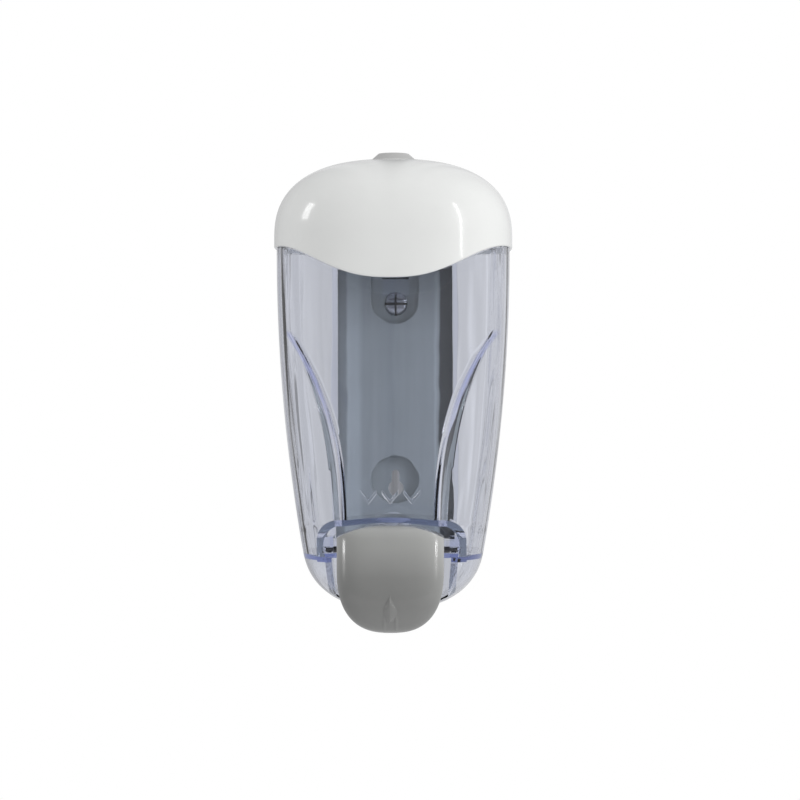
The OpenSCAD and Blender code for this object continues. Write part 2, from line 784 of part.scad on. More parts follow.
module nozzle() {
    end = outlet_low - nozzle_t;
    tip_r = 3.4;
    hole_r = 1.4;
    color([0.9, 0.9, 0.88]) upright(0) difference() {
        union() {
            translate([0, 0, outlet_z - 1.5]) cylinder(r = outlet_boss_r + 1.5, h = 3.9);
            translate([0, 0, end]) cylinder(r1 = tip_r, r2 = tip_r + 2, h = 5);
        }
        translate([0, 0, outlet_z - 0.05]) cylinder(r = outlet_boss_r + 0.05, h = 6);
        translate([0, 0, outlet_low]) cylinder(r = 2.75, h = 6);
        translate([0, 0, end - 1]) cylinder(r = hole_r, h = 6);
    }
}

wall_bracket();
wall_screw();
tank();
lid();
lock_housing();
lock_nut();
lock_plug();
lock_cam();
cam_screw();
push_lever();
lever_pins();
pump_body();
pump_gasket();
pump_nut();
inlet_strainer();
pump_cap();
piston();
piston_ring();
return_spring();
inlet_ball();
inlet_spring();
inlet_cage();
outlet_ball();
outlet_spring();
nozzle();
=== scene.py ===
"""Looks of the wall mounted soap dispenser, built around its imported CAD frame. Millimetres until MM."""
import math

import bmesh
import bpy
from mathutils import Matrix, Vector


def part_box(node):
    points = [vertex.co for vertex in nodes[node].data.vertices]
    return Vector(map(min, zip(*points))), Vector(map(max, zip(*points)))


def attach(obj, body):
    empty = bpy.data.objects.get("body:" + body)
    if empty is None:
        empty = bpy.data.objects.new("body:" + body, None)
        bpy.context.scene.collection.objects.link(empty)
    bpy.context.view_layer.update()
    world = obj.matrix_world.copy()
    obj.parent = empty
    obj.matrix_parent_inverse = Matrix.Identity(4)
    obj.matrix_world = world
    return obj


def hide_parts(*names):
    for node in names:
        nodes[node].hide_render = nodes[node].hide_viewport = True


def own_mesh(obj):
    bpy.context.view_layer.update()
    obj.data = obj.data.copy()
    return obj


MM = 0.001

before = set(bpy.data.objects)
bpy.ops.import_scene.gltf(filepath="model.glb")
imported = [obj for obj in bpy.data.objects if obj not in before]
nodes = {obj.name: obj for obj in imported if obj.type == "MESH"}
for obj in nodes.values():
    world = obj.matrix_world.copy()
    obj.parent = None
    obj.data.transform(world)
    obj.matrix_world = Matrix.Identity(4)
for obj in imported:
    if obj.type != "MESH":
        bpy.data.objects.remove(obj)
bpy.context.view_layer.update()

# ------------------------------------------------------------------ sizes, as in the CAD model

LID_W = 118.5
LID_TOP = 113.8
LID_EDGE = 69.5
LID_DIP = 16.9
TANK_W = 116.0
TANK_DEPTH = 106.0
WALL = 2.4
TAPER = 11.5
LEVER_W = 51.2
LEVER_FOOT = -117.2

SCREW_Z = 44.0
ROUND_N = 2.5                      # exponent of every rounded section
MID_Y = -45.0                      # widest line of the body
WALL_GAP = 0.4
FRONT_REACH = TANK_DEPTH + MID_Y
REAR_REACH = 84.0
SHOULDER_Z = 68.0
TAPER_RUN = 140.0
BELLY_Z = -80.0
BELLY_RUN = 30.0
SKIRT_Z = -107.0

NOSE_TOP = 28.5
NOSE_END = -70.0
NOSE_HALF = 23.0
NOSE_FLARE = 27.5
NOSE_POWER = 2.7
LEDGE_POWER = 0.8
PANEL_SHARE = 0.88
LEDGE_W = 12.0
LEDGE_FOOT = 0.3

LID_WALL = 2.2
CROWN_Z = 74.0
CROWN_RUN = LID_TOP - CROWN_Z
DIP_HALF = 58.0
DIP_POWER = 1.3
NECK_TOP = 86.0
NECK_REAR = 3.2
NECK_GAP = 0.6
LID_GAP = 2.5
LOCK_PAD_R = 12.0
LOCK_PAD_T = 5.0

BRACKET_HALF = 30.5
BRACKET_Y = -8.0
BRACKET_LOW = -77.0
BRACKET_HIGH = 83.4
REBATE_HALF = 28.4
REBATE_Y = -2.4
CHANNEL_HALF = BRACKET_HALF + 0.5
CHANNEL_Y = BRACKET_Y - 0.4

FLOOR_Z = -81.0
FLOOR_LOW = FLOOR_Z - WALL
POCKET_Y = -66.0
POCKET_TOP = -66.0
POCKET_HALF = 33.0
POCKET_CORNER = 10.0
POCKET_RISE = 2.0
CHEEK_Z = -81.8
CHEEK_HALF = 29.0
PUMP_WAY_HALF = 22.0               # gap in the pocket's rear wall that the pump passes through

PIVOT_Y = -78.0
PIVOT_Z = -78.4
PIN_R = 1.5
PIN_END = 32.0
BOSS_IN = 28.2
BOSS_FRONT = 4.5                   # how far the pivot bosses reach in front of the pivot
BOSS_H = 10.0
LEVER_TOP = -65.4
LEVER_FRONT = -110.0
LEVER_WALL = 2.2
LEVER_HALF = LEVER_W / 2
LEVER_MID = -86.0
LEVER_BACK = -84.0
LEVER_BULGE = 8.5
LEVER_LEAN = 15.0
LIP_R = 6.0
ARCH_DROP = 6.0
ARM_R = 5.0
ARM_DROP = 8.0                     # how far below the pivot the arms meet the lever's face
PAD_Y = -88.0
PAD_HALF = 5.0
PAD_SPAN = (-3.5, 6.0)             # foot and top of the pad, from the piston's axis

PUMP_Z = -99.0
PORT_Y = -50.0
NECK_R = 8.0

CAM_Z = 93.4
CAM_T = 2.4
HOOK_HALF = 9.0
HOOK_REACH = 9.0
HOOK_T = 2.4


# ------------------------------------------------------------------ shape functions

def mix(a, b, t):
    return a + (b - a) * t


def smooth(t):
    t = min(1.0, max(0.0, t))
    return t * t * (3 - 2 * t)


def spread(a, b, n):
    """n + 1 even steps from a to b."""
    return [mix(a, b, i / n) for i in range(n + 1)]


def rounded(t):
    return max(0.0, 1 - abs(t) ** ROUND_N) ** (1 / ROUND_N)


def belly(z):
    return 1.0 if z > BELLY_Z else rounded((BELLY_Z - z) / BELLY_RUN)


def tank_half(z):
    return (TANK_W / 2 - TAPER * ((SHOULDER_Z - min(z, SHOULDER_Z)) / TAPER_RUN) ** 2) * belly(z)


def tank_front(z):
    return FRONT_REACH * tank_half(z) / (TANK_W / 2)


def nose_part(z):
    return min(1.0, max(0.0, (z - NOSE_END) / (NOSE_TOP - NOSE_END)))


def nose_edge(z):
    return NOSE_HALF + NOSE_FLARE * nose_part(z) ** NOSE_POWER


def nose_ledge(z):
    part = nose_part(z)
    return LEDGE_W * (1 - part) ** LEDGE_POWER * mix(LEDGE_FOOT, 1, part)


def dip(x):
    if abs(x) >= DIP_HALF:
        return 0.0
    return LID_DIP * (1 + math.cos(math.pi * (abs(x) / DIP_HALF) ** DIP_POWER)) / 2


def edge_z(x, y):
    return LID_EDGE - (dip(x) if y < MID_Y else 0.0)


LEDGE_LEAST = 0.3                  # added to every ledge, so that its two edges never meet
LEDGE_EASE = 0.35                  # 0 makes the ledge's slope straight, and 1 makes it an S
PANEL_STEPS = 26
LEDGE_STEPS = 10
FLANK_STEPS = 44
REAR_STEPS = 14


def half_section(w, f, r, back, panel, ledge=0.0):
    """Half of a body section, from the front round to the back.

    w is its half width, and f and r are its reach to the front and the rear of MID_Y. It is cut
    off at y = -back. panel is (edge, w, f): up to x = edge the section is a wider, raised one.
    """
    edge, panel_w, panel_f = panel
    ledge += LEDGE_LEAST
    power = 2 / ROUND_N
    points = []
    for x in spread(0, edge, PANEL_STEPS):
        points.append((x, MID_Y - panel_f * rounded(x / panel_w)))
    for x in spread(edge, edge + ledge, LEDGE_STEPS)[1:]:
        t = (x - edge) / ledge
        share = mix(t, smooth(t), LEDGE_EASE)
        points.append((x, MID_Y - mix(panel_f * rounded(x / panel_w), f * rounded(x / w), share)))
    start = math.asin(min(1.0, (edge + ledge) / w) ** (1 / power))
    for a in spread(start, math.pi / 2, FLANK_STEPS)[1:]:
        points.append((w * math.sin(a) ** power, MID_Y - f * max(0.0, math.cos(a)) ** power))
    limit = math.asin(min(1.0, max(0.0, (-back - MID_Y) / r) ** (1 / power)))
    for a in spread(0, limit, REAR_STEPS)[1:]:
        points.append((w * math.cos(a) ** power, MID_Y + r * math.sin(a) ** power))
    return points


def ring(half, z):
    """Closed ring from half a section. z is a number, or a function of x and y."""
    height = z if callable(z) else (lambda x, y: z)
    right = [(x, y, height(x, y)) for x, y in half]
    left = [(-x, y, height(x, y)) for x, y in reversed(half[1:])]
    return right + left


# ------------------------------------------------------------------ mesh tools

def mesh_object(name, points, faces):
    mesh = bpy.data.meshes.new(name)
    mesh.from_pydata([tuple(c * MM for c in p) for p in points], [], faces)
    mesh.validate()
    obj = bpy.data.objects.new(name, mesh)
    bpy.context.scene.collection.objects.link(obj)
    return obj


def outward(obj):
    bm = bmesh.new()
    bm.from_mesh(obj.data)
    bmesh.ops.recalc_face_normals(bm, faces=bm.faces)
    bm.to_mesh(obj.data)
    bm.free()
    return obj


def skin(name, rings):
    """Closed solid through a stack of rings, its ends closed across from side to side."""
    n = len(rings[0])
    points = [p for r in rings for p in r]
    faces = []
    for k in range(len(rings) - 1):
        for i in range(n):
            a, b = k * n + i, k * n + (i + 1) % n
            faces.append((a, b, b + n, a + n))
    last = (len(rings) - 1) * n
    for base, flip in ((0, True), (last, False)):
        cap = [(0, 1, n - 1)] + [(i, i + 1, n - i - 1, n - i) for i in range(1, (n - 1) // 2)]
        for face in cap:
            ids = [base + i for i in face]
            faces.append(tuple(reversed(ids)) if flip else tuple(ids))
    return outward(mesh_object(name, points, faces))


def prism(name, outline, axis, low, high):
    """Straight solid from a closed outline. axis 0, 1 or 2 is the direction it runs in."""
    def place(u, v, h):
        return [(h, u, v), (u, h, v), (u, v, h)][axis]
    n = len(outline)
    points = [place(u, v, h) for h in (low, high) for u, v in outline]
    faces = [tuple(range(n)), tuple(range(2 * n - 1, n - 1, -1))]
    faces += [(i, (i + 1) % n, n + (i + 1) % n, n + i) for i in range(n)]
    return outward(mesh_object(name, points, faces))


def slab(name, x0, x1, y0, y1, z0, z1):
    return prism(name, [(x0, y0), (x1, y0), (x1, y1), (x0, y1)], 2, z0, z1)


def disc_outline(u, v, r, n=64):
    return [(u + r * math.cos(a), v + r * math.sin(a)) for a in spread(0, 2 * math.pi, n)[:-1]]


def rod(name, u, v, r, axis, low, high, n=64):
    return prism(name, disc_outline(u, v, r, n), axis, low, high)


def boolean(obj, other, operation="DIFFERENCE", keep=False):
    step = obj.modifiers.new("cut", "BOOLEAN")
    step.operation = operation
    step.object = other
    step.solver = "EXACT"
    apply_modifiers(obj)
    if not keep:
        bpy.data.objects.remove(other)
    return obj


def apply_modifiers(obj):
    bpy.context.view_layer.update()
    depsgraph = bpy.context.evaluated_depsgraph_get()
    mesh = bpy.data.meshes.new_from_object(obj.evaluated_get(depsgraph))
    old = obj.data
    obj.modifiers.clear()
    obj.data = mesh
    bpy.data.meshes.remove(old)


def cut(obj, *others):
    for other in others:
        boolean(obj, other)
    return obj


def join(obj, *others):
    for other in others:
        boolean(obj, other, "UNION")
    return obj


def shade(obj, angle=32):
    for p in obj.data.polygons:
        p.use_smooth = True
    obj.data.set_sharp_from_angle(angle=math.radians(angle))
    return obj


def bevel(obj, width, segments=2, angle=40):
    step = obj.modifiers.new("bevel", "BEVEL")
    step.width = width * MM
    step.segments = segments
    step.limit_method = "ANGLE"
    step.angle_limit = math.radians(angle)
    apply_modifiers(obj)
    return obj


# ------------------------------------------------------------------ materials

def fill_ramp(ramp, stops):
    """Grey stops of a colour ramp, each a place and a brightness."""
    points = ramp.color_ramp.elements
    while len(points) < len(stops):
        points.new(0.5)
    for point, (place, level) in zip(points, stops):
        point.position = place
        point.color = (level, level, level, 1)


def math_node(tree, operation, *values):
    """Output of a maths node. Each value is a number or another node's output."""
    node = tree.nodes.new("ShaderNodeMath")
    node.operation = operation
    for slot, value in zip(node.inputs, values):
        if isinstance(value, (int, float)):
            slot.default_value = value
        else:
            tree.links.new(value, slot)
    return node.outputs["Value"]


def object_axes(tree):
    """The X, Y and Z outputs of a point's place in the object, in metres."""
    coords = tree.nodes.new("ShaderNodeTexCoord")
    parts = tree.nodes.new("ShaderNodeSeparateXYZ")
    tree.links.new(coords.outputs["Object"], parts.inputs["Vector"])
    return parts.outputs


def ramp_node(tree, value, stops, low, high):
    """Grey level at a value between low and high, from stops of (value, level)."""
    span = tree.nodes.new("ShaderNodeMapRange")
    span.inputs["From Min"].default_value = low
    span.inputs["From Max"].default_value = high
    tree.links.new(value, span.inputs["Value"])
    ramp = tree.nodes.new("ShaderNodeValToRGB")
    fill_ramp(ramp, [((place - low) / (high - low), level) for place, level in stops])
    tree.links.new(span.outputs["Result"], ramp.inputs["Fac"])
    return ramp.outputs["Color"]


def new_material(name):
    mat = bpy.data.materials.new(name)
    mat.use_nodes = True
    tree = mat.node_tree
    return mat, tree, tree.nodes["Principled BSDF"]


def grained(tree, shader, colour, vary, scale, rough, rough_vary, bump):
    """Mottled colour, uneven gloss and a fine moulded grain, all in object space."""
    coords = tree.nodes.new("ShaderNodeTexCoord")
    cloud = tree.nodes.new("ShaderNodeTexNoise")
    cloud.inputs["Scale"].default_value = scale
    cloud.inputs["Detail"].default_value = 4
    tree.links.new(coords.outputs["Object"], cloud.inputs["Vector"])
    ramp = tree.nodes.new("ShaderNodeValToRGB")
    ramp.color_ramp.elements[0].color = [c * (1 - vary) for c in colour] + [1]
    ramp.color_ramp.elements[1].color = [min(1, c * (1 + vary)) for c in colour] + [1]
    ramp.color_ramp.elements[0].position = 0.3
    ramp.color_ramp.elements[1].position = 0.7
    tree.links.new(cloud.outputs["Fac"], ramp.inputs["Fac"])
    tree.links.new(ramp.outputs["Color"], shader.inputs["Base Color"])
    spread_rough = tree.nodes.new("ShaderNodeMapRange")
    spread_rough.inputs["To Min"].default_value = max(0, rough - rough_vary)
    spread_rough.inputs["To Max"].default_value = rough + rough_vary
    tree.links.new(cloud.outputs["Fac"], spread_rough.inputs["Value"])
    tree.links.new(spread_rough.outputs["Result"], shader.inputs["Roughness"])
    grain = tree.nodes.new("ShaderNodeTexNoise")
    grain.inputs["Scale"].default_value = 1800
    tree.links.new(coords.outputs["Object"], grain.inputs["Vector"])
    bumps = tree.nodes.new("ShaderNodeBump")
    bumps.inputs["Strength"].default_value = bump
    bumps.inputs["Distance"].default_value = 0.00004
    tree.links.new(grain.outputs["Fac"], bumps.inputs["Height"])
    tree.links.new(bumps.outputs["Normal"], shader.inputs["Normal"])


def plastic(name, colour, rough=0.35, vary=0.02, bump=0.15, coat=0.0):
    mat, tree, shader = new_material(name)
    grained(tree, shader, colour, vary, 60, rough, 0.04, bump)
    shader.inputs["IOR"].default_value = 1.52
    shader.inputs["Coat Weight"].default_value = coat
    shader.inputs["Coat Roughness"].default_value = 0.06
    return mat


def metal(name, colour, rough=0.28, vary=0.06, bump=0.2):
    mat, tree, shader = new_material(name)
    grained(tree, shader, colour, vary, 220, rough, 0.08, bump)
    shader.inputs["Metallic"].default_value = 1.0
    return mat


def tint_creases(tree, shader, clear, blue):
    """Blue line along each side of the raised front, strongest near its top, where the wall is thick."""
    parts = object_axes(tree)
    x, y, z = [math_node(tree, "MULTIPLY", parts[axis], 1 / MM) for axis in "XYZ"]
    climb = math_node(tree, "SUBTRACT", z, NOSE_END)
    part = math_node(tree, "MAXIMUM", math_node(tree, "DIVIDE", climb, NOSE_TOP - NOSE_END), 0.0)
    flared = math_node(tree, "POWER", part, NOSE_POWER)
    edge = math_node(tree, "MULTIPLY_ADD", flared, NOSE_FLARE, NOSE_HALF)
    beside = math_node(tree, "SUBTRACT", math_node(tree, "ABSOLUTE", x), edge)
    line = ramp_node(tree, beside, [(-0.9, 0), (-0.3, 1), (1.0, 1), (1.8, 0)], -4, 4)
    upper = ramp_node(tree, z, [(-30, 0), (-5, 0.7), (8, 1), (26, 0.8), (29, 0)], -80, 80)
    front = math_node(tree, "LESS_THAN", y, MID_Y)
    share = math_node(tree, "MULTIPLY", math_node(tree, "MULTIPLY", line, upper), front)
    colour = tree.nodes.new("ShaderNodeMix")
    colour.data_type = "RGBA"
    colour.inputs["A"].default_value = clear
    colour.inputs["B"].default_value = blue
    tree.links.new(share, colour.inputs["Factor"])
    tree.links.new(colour.outputs["Result"], shader.inputs["Base Color"])


def clear_plastic(name):
    """Clear moulding: refracts, and tints long paths blue. Shadow rays pass so that its inside is lit."""
    mat, tree, shader = new_material(name)
    tint_creases(tree, shader, (0.97, 0.98, 1.0, 1.0), (0.50, 0.55, 0.92, 1.0))
    shader.inputs["Roughness"].default_value = 0.015
    shader.inputs["IOR"].default_value = 1.5
    shader.inputs["Transmission Weight"].default_value = 1.0
    coords = tree.nodes.new("ShaderNodeTexCoord")
    stretch = tree.nodes.new("ShaderNodeMapping")
    stretch.inputs["Scale"].default_value = (150, 150, 14)
    tree.links.new(coords.outputs["Object"], stretch.inputs["Vector"])
    flow = tree.nodes.new("ShaderNodeTexNoise")
    flow.inputs["Scale"].default_value = 1.0
    flow.inputs["Detail"].default_value = 1.0
    tree.links.new(stretch.outputs["Vector"], flow.inputs["Vector"])
    bumps = tree.nodes.new("ShaderNodeBump")
    bumps.inputs["Strength"].default_value = 0.5
    bumps.inputs["Distance"].default_value = 0.00013
    tree.links.new(flow.outputs["Fac"], bumps.inputs["Height"])
    tree.links.new(bumps.outputs["Normal"], shader.inputs["Normal"])
    rays = tree.nodes.new("ShaderNodeLightPath")
    passing = math_node(tree, "MAXIMUM", rays.outputs["Is Shadow Ray"], rays.outputs["Is Diffuse Ray"])
    through = tree.nodes.new("ShaderNodeBsdfTransparent")
    through.inputs["Color"].default_value = (0.965, 0.97, 0.985, 1.0)
    choose = tree.nodes.new("ShaderNodeMixShader")
    tree.links.new(passing, choose.inputs["Fac"])
    tree.links.new(shader.outputs["BSDF"], choose.inputs[1])
    tree.links.new(through.outputs["BSDF"], choose.inputs[2])
    output = tree.nodes["Material Output"]
    tree.links.new(choose.outputs["Shader"], output.inputs["Surface"])
    tint = tree.nodes.new("ShaderNodeVolumeAbsorption")
    tint.inputs["Color"].default_value = (0.0, 0.13, 0.62, 1.0)
    tint.inputs["Density"].default_value = 18.0
    tree.links.new(tint.outputs["Volume"], output.inputs["Volume"])
    return mat


def dress(obj, mat):
    obj.data.materials.clear()
    obj.data.materials.append(mat)
    return obj


def scaled_axis(tree, axis, wobble):
    """Object-space position along an axis in millimetres, with a slow upright wobble added."""
    parts = object_axes(tree)
    waves = tree.nodes.new("ShaderNodeTexNoise")
    waves.noise_dimensions = "1D"
    waves.inputs["Scale"].default_value = 70
    tree.links.new(parts["Z"], waves.inputs["W"])
    place = math_node(tree, "MULTIPLY", parts[axis], 1 / MM)
    return math_node(tree, "MULTIPLY_ADD", waves.outputs["Fac"], wobble, place)


def darken(tree, shader, value, stops, low, high):
    """Multiply the base colour by a ramp of brightness along a value that runs from low to high."""
    source = shader.inputs["Base Color"].links[0].from_socket
    product = tree.nodes.new("ShaderNodeMix")
    product.data_type = "RGBA"
    product.blend_type = "MULTIPLY"
    product.inputs["Factor"].default_value = 1
    tree.links.new(source, product.inputs["A"])
    tree.links.new(ramp_node(tree, value, stops, low, high), product.inputs["B"])
    tree.links.new(product.outputs["Result"], shader.inputs["Base Color"])


def paint_bracket_shading(mat):
    """Painted shade and light: dark and light strips at the plate's edges, as the tank's side walls show
    them, and a top darkened as painted shadow.
    """
    tree = mat.node_tree
    shader = tree.nodes["Principled BSDF"]
    across = [(-31, 0.35), (-28, 0.50), (-25.8, 0.56), (-24.6, 1.0), (-18.5, 0.96), (-16, 0.74),
              (20.5, 0.74), (21.8, 0.95), (23.0, 0.7), (23.8, 0.12), (31, 0.05)]
    darken(tree, shader, scaled_axis(tree, "X", 1.6), across, -32, 32)
    upright = [(-80, 0.94), (-40, 1.0), (28, 0.96), (50, 0.72), (60, 0.55)]
    darken(tree, shader, scaled_axis(tree, "Z", 0.0), upright, -85, 85)


def paint_lever_shading(mat):
    """Painted light and shade: a lighter top edge and right edge, darker below the middle, as light from
    above and from the right falls.
    """
    tree = mat.node_tree
    shader = tree.nodes["Principled BSDF"]
    upright = [(-120, 0.66), (-114, 0.60), (-104, 0.55), (-90, 0.62), (-76, 0.88), (-66, 1.0)]
    darken(tree, shader, scaled_axis(tree, "Z", 0.0), upright, -121, -60)
    across = [(-26, 0.80), (-22, 0.76), (-14, 0.84), (12, 0.86), (18, 0.92), (22.5, 1.0)]
    darken(tree, shader, scaled_axis(tree, "X", 0.0), across, -27, 27)


def paint_screw_recess_shade(mat):
    """Painted shade: a dark cross over the recess in the head of the screw at SCREW_Z, for the shade inside
    the recess.
    """
    tree = mat.node_tree
    shader = tree.nodes["Principled BSDF"]
    for axis, centre in (("X", 0), ("Z", SCREW_Z)):
        cross = [(centre - 0.8, 1.0), (centre - 0.5, 0.08), (centre + 0.5, 0.08), (centre + 0.8, 1.0)]
        darken(tree, shader, scaled_axis(tree, axis, 0.0), cross, centre - 7, centre + 7)


CLEAR = clear_plastic("clear_san")
WHITE = plastic("lid_white_abs", (0.84, 0.85, 0.83), rough=0.16, vary=0.01, bump=0.05, coat=0.4)
LEVER_GREY = plastic("lever_grey_abs", (0.47, 0.475, 0.46), rough=0.22, vary=0.02, bump=0.06, coat=0.4)
# painted light and shade on the lever's face, in its base colour
paint_lever_shading(LEVER_GREY)
BRACKET_GREY = plastic("bracket_grey_abs", (0.52, 0.565, 0.543), rough=0.42, vary=0.03, bump=0.3)
# painted shade and light on the bracket's plate, in its base colour
paint_bracket_shading(BRACKET_GREY)
LOCK_GREY = plastic("lock_grey", (0.50, 0.50, 0.49), rough=0.38, vary=0.03, bump=0.3)
ACETAL = plastic("natural_acetal", (0.74, 0.74, 0.71), rough=0.38)
STRAINER = plastic("strainer_pp", (0.46, 0.49, 0.53), rough=0.45)
PISTON_BLUE = plastic("piston_acetal", (0.16, 0.24, 0.36), rough=0.35)
RUBBER = plastic("black_nitrile", (0.02, 0.02, 0.02), rough=0.6, bump=0.4)
ZINC = metal("zinc_plate", (0.62, 0.62, 0.64), rough=0.3)
SCREW_STEEL = metal("screw_zinc", (0.52, 0.53, 0.55), rough=0.2)
# pin steel painted near black, as painted shade for the pins that sit between the lever and the bosses
PIN_STEEL_PAINTED_SHADE = metal("pin_steel_painted_shade", (0.10, 0.10, 0.11), rough=0.35)
# painted shade of the screw head's cross recess, in the screw's colour
paint_screw_recess_shade(SCREW_STEEL)
SPRING_STEEL = metal("spring_wire", (0.6, 0.6, 0.62), rough=0.2)
BALL_STEEL = metal("ball_polished", (0.75, 0.75, 0.77), rough=0.06, bump=0.02)


# ------------------------------------------------------------------ tank

def tank_section(z, inset=0.0, nose=True):
    w = tank_half(z) - inset
    f = tank_front(z) - inset
    edge = min(nose_edge(z) - inset, PANEL_SHARE * w)
    if not nose:
        return half_section(w, f, REAR_REACH, WALL_GAP + inset, (edge, w, f))
    top = max(z, NOSE_TOP)
    panel = (edge, tank_half(top) - inset, tank_front(top) - inset)
    return half_section(w, f, REAR_REACH, WALL_GAP + inset, panel, nose_ledge(z))


def neck_section(inset, gap):
    w = LID_W / 2 - LID_WALL - gap - inset
    f = FRONT_REACH - LID_WALL - gap + 1 - inset
    return half_section(w, f, REAR_REACH, NECK_REAR + inset, (PANEL_SHARE * w, w, f))


BELLY_HEIGHTS = [mix(BELLY_Z, SKIRT_Z, math.sin(math.pi / 2 * t)) for t in spread(1, 0, 22)]
PLAIN_HEIGHTS = BELLY_HEIGHTS + [-76.0, -73.0]
BODY_HEIGHTS = spread(NOSE_END, NOSE_TOP - 4, 44) + spread(NOSE_TOP - 3, 46, 20)
SHOULDER_ROWS = 8
CREST_Z = 46.0


def body_rings(inset, low):
    """Rings of the plain belly above low, then the body with its raised nose up to CREST_Z."""
    rings = [ring(tank_section(z, inset, False), z) for z in PLAIN_HEIGHTS if z > low + 0.01]
    start = NOSE_END + inset
    rings.append(ring(tank_section(start, inset, False), start - 0.02))
    rings += [ring(tank_section(max(z, start), inset), z) for z in BODY_HEIGHTS if z > start - 0.01]
    return rings


def tank_outside():
    rings = body_rings(0.0, SKIRT_Z - 1)
    for t in spread(0, 1, SHOULDER_ROWS)[1:]:
        section = tank_section(mix(CREST_Z, SHOULDER_Z, t))
        rings.append(ring(section, lambda x, y, t=t: mix(CREST_Z, edge_z(x, y) - 0.3, t)))
    rings.append(ring(neck_section(0, NECK_GAP), lambda x, y: edge_z(x, y) - 0.25))
    rings.append(ring(neck_section(0, LID_GAP), NECK_TOP))
    return skin("tank_shell", rings)


# Flow lines of the moulding: (waves round the wall, depth, drift, height of one drift wave)
FLOW_WAVES = [(17, 0.060, 0.5, 170.0), (31, 0.035, 0.7, 120.0), (53, 0.014, 0.9, 90.0)]


def flow(x, y, z):
    """How far the inner wall stands in or out at a point, in long upright waves."""
    a = math.atan2(x, MID_Y - y)
    wave = sum(depth * math.sin(waves * a + drift * math.sin(2 * math.pi * z / run + waves))
               for waves, depth, drift, run in FLOW_WAVES)
    return wave * (0.2 + 3.6 * math.sin(a) ** 4)


def wavy_ring(points):
    """The ring with each point moved towards or away from the body's middle line by the flow lines."""
    moved = []
    for x, y, z in points:
        out = math.hypot(x, y - MID_Y)
        share = 1 + flow(x, y, z) / out
        moved.append((x * share, MID_Y + (y - MID_Y) * share, z))
    return moved


def tank_inside():
    rings = [ring(tank_section(FLOOR_Z, WALL, False), FLOOR_Z)] + body_rings(WALL, FLOOR_Z)
    for t in spread(0, 1, SHOULDER_ROWS)[1:]:
        section = tank_section(mix(CREST_Z, SHOULDER_Z, t), WALL)
        rings.append(ring(section, lambda x, y, t=t: mix(CREST_Z, edge_z(x, y) + 2, t)))
    rings.append(ring(neck_section(WALL, LID_GAP), NECK_TOP + 1))
    return skin("tank_inside", [wavy_ring(r) for r in rings])


def skirt_inside():
    heights = [FLOOR_LOW] + [z for z in reversed(BELLY_HEIGHTS) if z < FLOOR_LOW - 0.1]
    rings = [ring(tank_section(z, WALL, False), z) for z in reversed(heights)]
    rings.insert(0, ring(tank_section(SKIRT_Z, WALL, False), SKIRT_Z - 1))
    return skin("skirt_inside", rings)


def pocket(grow):
    """The space for the lever: arched top, wide at the pivot, narrow beside the lever."""
    top = POCKET_TOP + grow
    half = POCKET_HALF + grow
    right = []
    for x in spread(0, half - POCKET_CORNER, 12):
        right.append((x, top + POCKET_RISE * math.cos(math.pi / 2 * x / (half - POCKET_CORNER))))
    for a in spread(0, math.pi / 2, 16)[1:]:
        right.append((half - POCKET_CORNER * (1 - math.sin(a)), top - POCKET_CORNER * (1 - math.cos(a))))
    right += [(half, CHEEK_Z - grow), (CHEEK_HALF + grow, CHEEK_Z - grow)]
    right.append((LEVER_HALF + 1 + grow, SKIRT_Z - 5))
    outline = right + [(-x, z) for x, z in reversed(right[1:])]
    return prism("pocket", outline, 1, POCKET_Y - 80, POCKET_Y + grow)


def make_tank():
    inside = tank_inside()
    cut(inside, pocket(WALL))
    cut(inside, slab("behind", -CHANNEL_HALF - WALL, CHANNEL_HALF + WALL, CHANNEL_Y - WALL, 40, -150, 150))
    skirt = cut(skirt_inside(), pocket(WALL))
    tank = tank_outside()
    cut(tank, inside, skirt, pocket(0))
    way = PUMP_WAY_HALF
    cut(tank, slab("pump_way", -way, way, POCKET_Y - 1, POCKET_Y + WALL + 1, SKIRT_Z - 1, FLOOR_LOW))
    whole = skin("whole", [ring(tank_section(z, 0, False), z) for z in BELLY_HEIGHTS + [-76.0, -72.0]])
    for side in (-1, 1):
        x0, x1 = sorted((side * BOSS_IN, side * (POCKET_HALF + 1)))
        boss = slab("boss", x0, x1, PIVOT_Y - BOSS_FRONT, POCKET_Y + 0.5, CHEEK_Z, CHEEK_Z + BOSS_H)
        boolean(boss, whole, "INTERSECT", keep=True)
        join(tank, boss)
    bpy.data.objects.remove(whole)
    top = BRACKET_HIGH + 0.1
    cut(tank, slab("channel", -CHANNEL_HALF, CHANNEL_HALF, CHANNEL_Y, REBATE_Y + 0.3, BRACKET_LOW - 1, top))
    cut(tank, slab("lips", -REBATE_HALF - 0.4, REBATE_HALF + 0.4, REBATE_Y, 8, BRACKET_LOW - 1, top))
    cut(tank, rod("pivot", PIVOT_Y, PIVOT_Z, PIN_R + 0.05, 0, -PIN_END - 0.6, PIN_END + 0.6))
    cut(tank, rod("pump_hole", 0, PORT_Y, NECK_R + 0.2, 2, FLOOR_LOW - 1, FLOOR_Z + 1))
    join(tank, *make_hanger(), *make_catch(), *make_chevrons())
    shade(tank, 28)
    return tank


TONGUE_HALF = 7.0
TONGUE_TOP = 60.0
TONGUE_LOW = 47.4
TONGUE_CORNER = 2.0
TONGUE_T = 1.8
TONGUE_ROOT_H = 4.0


